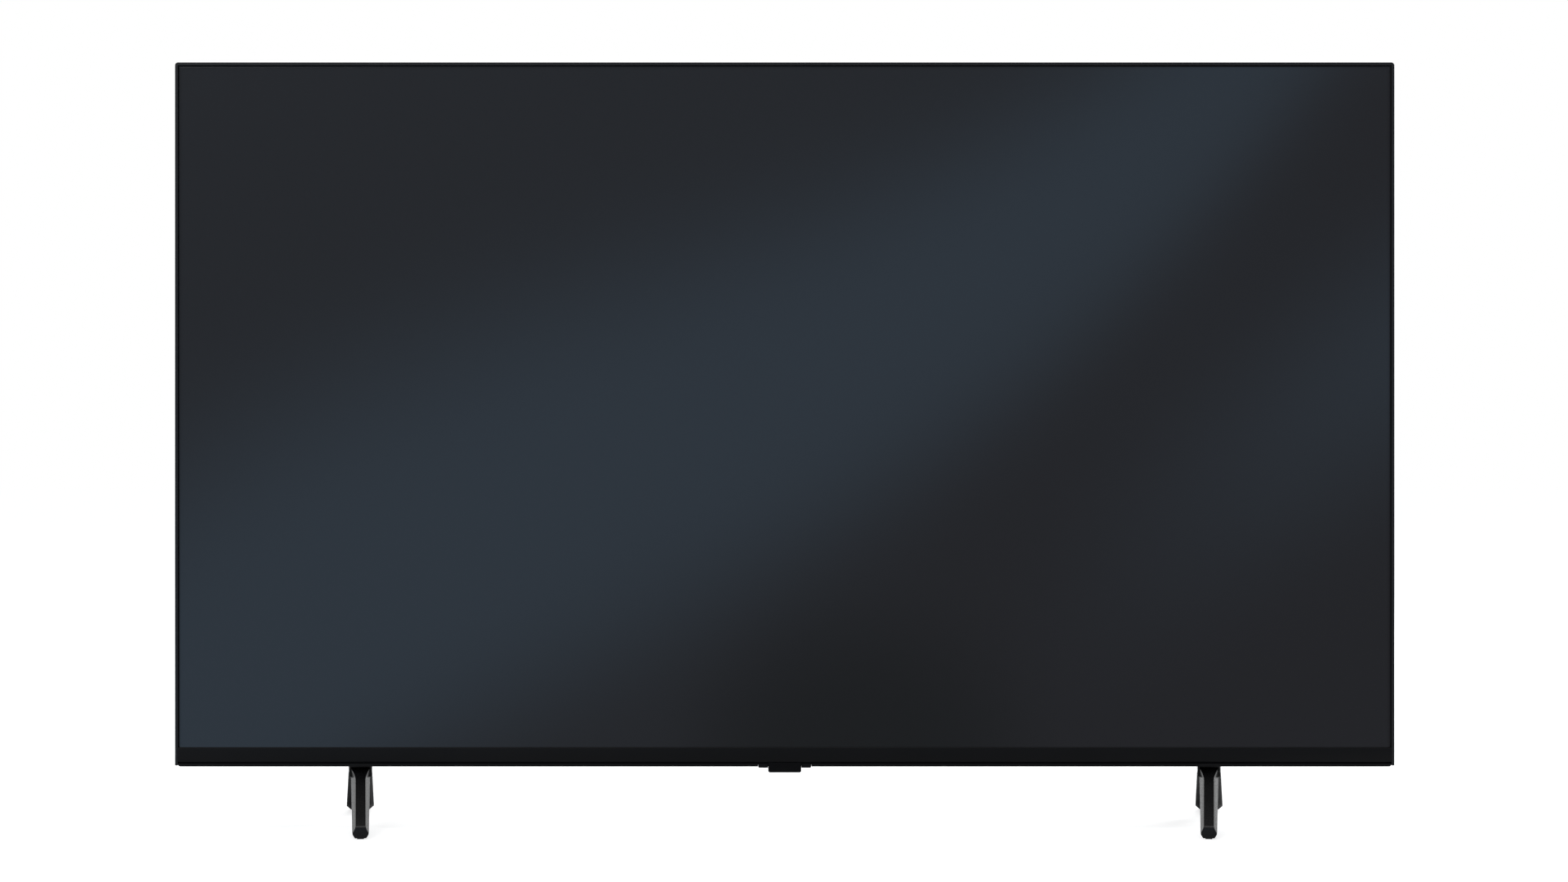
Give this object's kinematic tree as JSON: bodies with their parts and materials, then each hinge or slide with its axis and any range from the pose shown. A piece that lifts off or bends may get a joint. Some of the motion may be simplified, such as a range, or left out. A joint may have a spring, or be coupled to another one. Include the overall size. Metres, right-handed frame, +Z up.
{
  "type": "television",
  "caption": "Flat screen television with a slim dark frame, a bottom bezel with a sensor tab, two splayed feet, a rear terminal bay and a wall mount pattern.",
  "frame": {"origin": "floor level, midway across the width and midway between the foot tips", "axes": "+X to the right seen from the front, +Y from the screen to the back, +Z up"},
  "size_m": [1.2242, 0.2399, 0.7689],
  "materials": {
    "frame_plastic": "satin",
    "bezel_plastic": "satin",
    "screen_glass": "semi-gloss",
    "foam": "matte",
    "film": "satin",
    "board_green": "satin",
    "board_tan": "satin",
    "sheet_white": "matte",
    "lens_clear": "gloss",
    "pan_steel": "satin",
    "plated_steel": "satin",
    "aluminium": "satin",
    "cover_plastic": "textured",
    "black_screw": "satin",
    "tray_plastic": "textured",
    "socket_black": "satin",
    "winding": "satin",
    "sleeve": "gloss",
    "ribbon": "satin",
    "lead": "satin",
    "cone_paper": "matte",
    "soft_rubber": "matte",
    "window_plastic": "gloss",
    "key_plastic": "satin",
    "foot_plastic": "gloss",
    "pad_rubber": "matte"
  },
  "bodies": {
    "set": {"front_frame": "frame_plastic", "bottom_rail": "bezel_plastic", "bottom_bezel": "bezel_plastic", "lcd_cell": "screen_glass", "cell_tape": "foam", "driver_films": "film", "source_boards": "board_green", "prism_sheet": "sheet_white", "diffuser_sheet": "sheet_white", "diffuser_plate": "sheet_white", "reflector_sheet": "sheet_white", "diffuser_supports": "sheet_white", "led_strips": "sheet_white", "led_lenses": "lens_clear", "back_pan": "pan_steel", "wall_mount_posts": "plated_steel", "rear_cover": "cover_plastic", "cover_screws": "black_screw", "terminal_tray": "tray_plastic", "inlet_tray": "tray_plastic", "main_board": "board_green", "main_heatsink": "aluminium", "tuner": "plated_steel", "video_sockets": "plated_steel", "data_sockets": "plated_steel", "lan_socket": "plated_steel", "optical_socket": "socket_black", "headphone_socket": "socket_black", "card_slot": "socket_black", "power_board": "board_tan", "transformers": "winding", "capacitors": "sleeve", "power_heatsinks": "aluminium", "mains_inlet": "socket_black", "timing_board": "board_green", "ribbon_cables": "ribbon", "wire_leads": "lead", "board_screws": "plated_steel", "left_speaker_box": "tray_plastic", "right_speaker_box": "tray_plastic", "left_basket": "black_screw", "right_basket": "black_screw", "left_magnet": "plated_steel", "right_magnet": "plated_steel", "left_surround": "soft_rubber", "right_surround": "soft_rubber", "speaker_gaskets": "foam", "sensor_housing": "socket_black", "sensor_window": "window_plastic", "sensor_board": "board_green", "tact_switch": "plated_steel", "left_foot": "foot_plastic", "right_foot": "foot_plastic", "foot_brackets": "plated_steel", "foot_screws": "black_screw", "foot_pads": "pad_rubber"},
    "power_key": {"power_key": "key_plastic"},
    "left_cone": {"left_cone": "cone_paper"},
    "right_cone": {"right_cone": "cone_paper"}
  },
  "joints": [
    {"name": "power_key_press", "type": "slide", "parent": "set", "child": "power_key", "axis": [0, 0, 1], "range_m": [0, 0.0007], "stiffness_N_per_m": 1500},
    {"name": "left_cone_travel", "type": "slide", "parent": "set", "child": "left_cone", "axis": [0, 0, 1], "range_m": [-0.0015, 0.0015], "stiffness_N_per_m": 1200, "deforming": ["left_surround"]},
    {"name": "right_cone_travel", "type": "slide", "parent": "set", "child": "right_cone", "axis": [0, 0, 1], "range_m": [-0.0015, 0.0015], "stiffness_N_per_m": 1200, "deforming": ["right_surround"]}
  ]
}
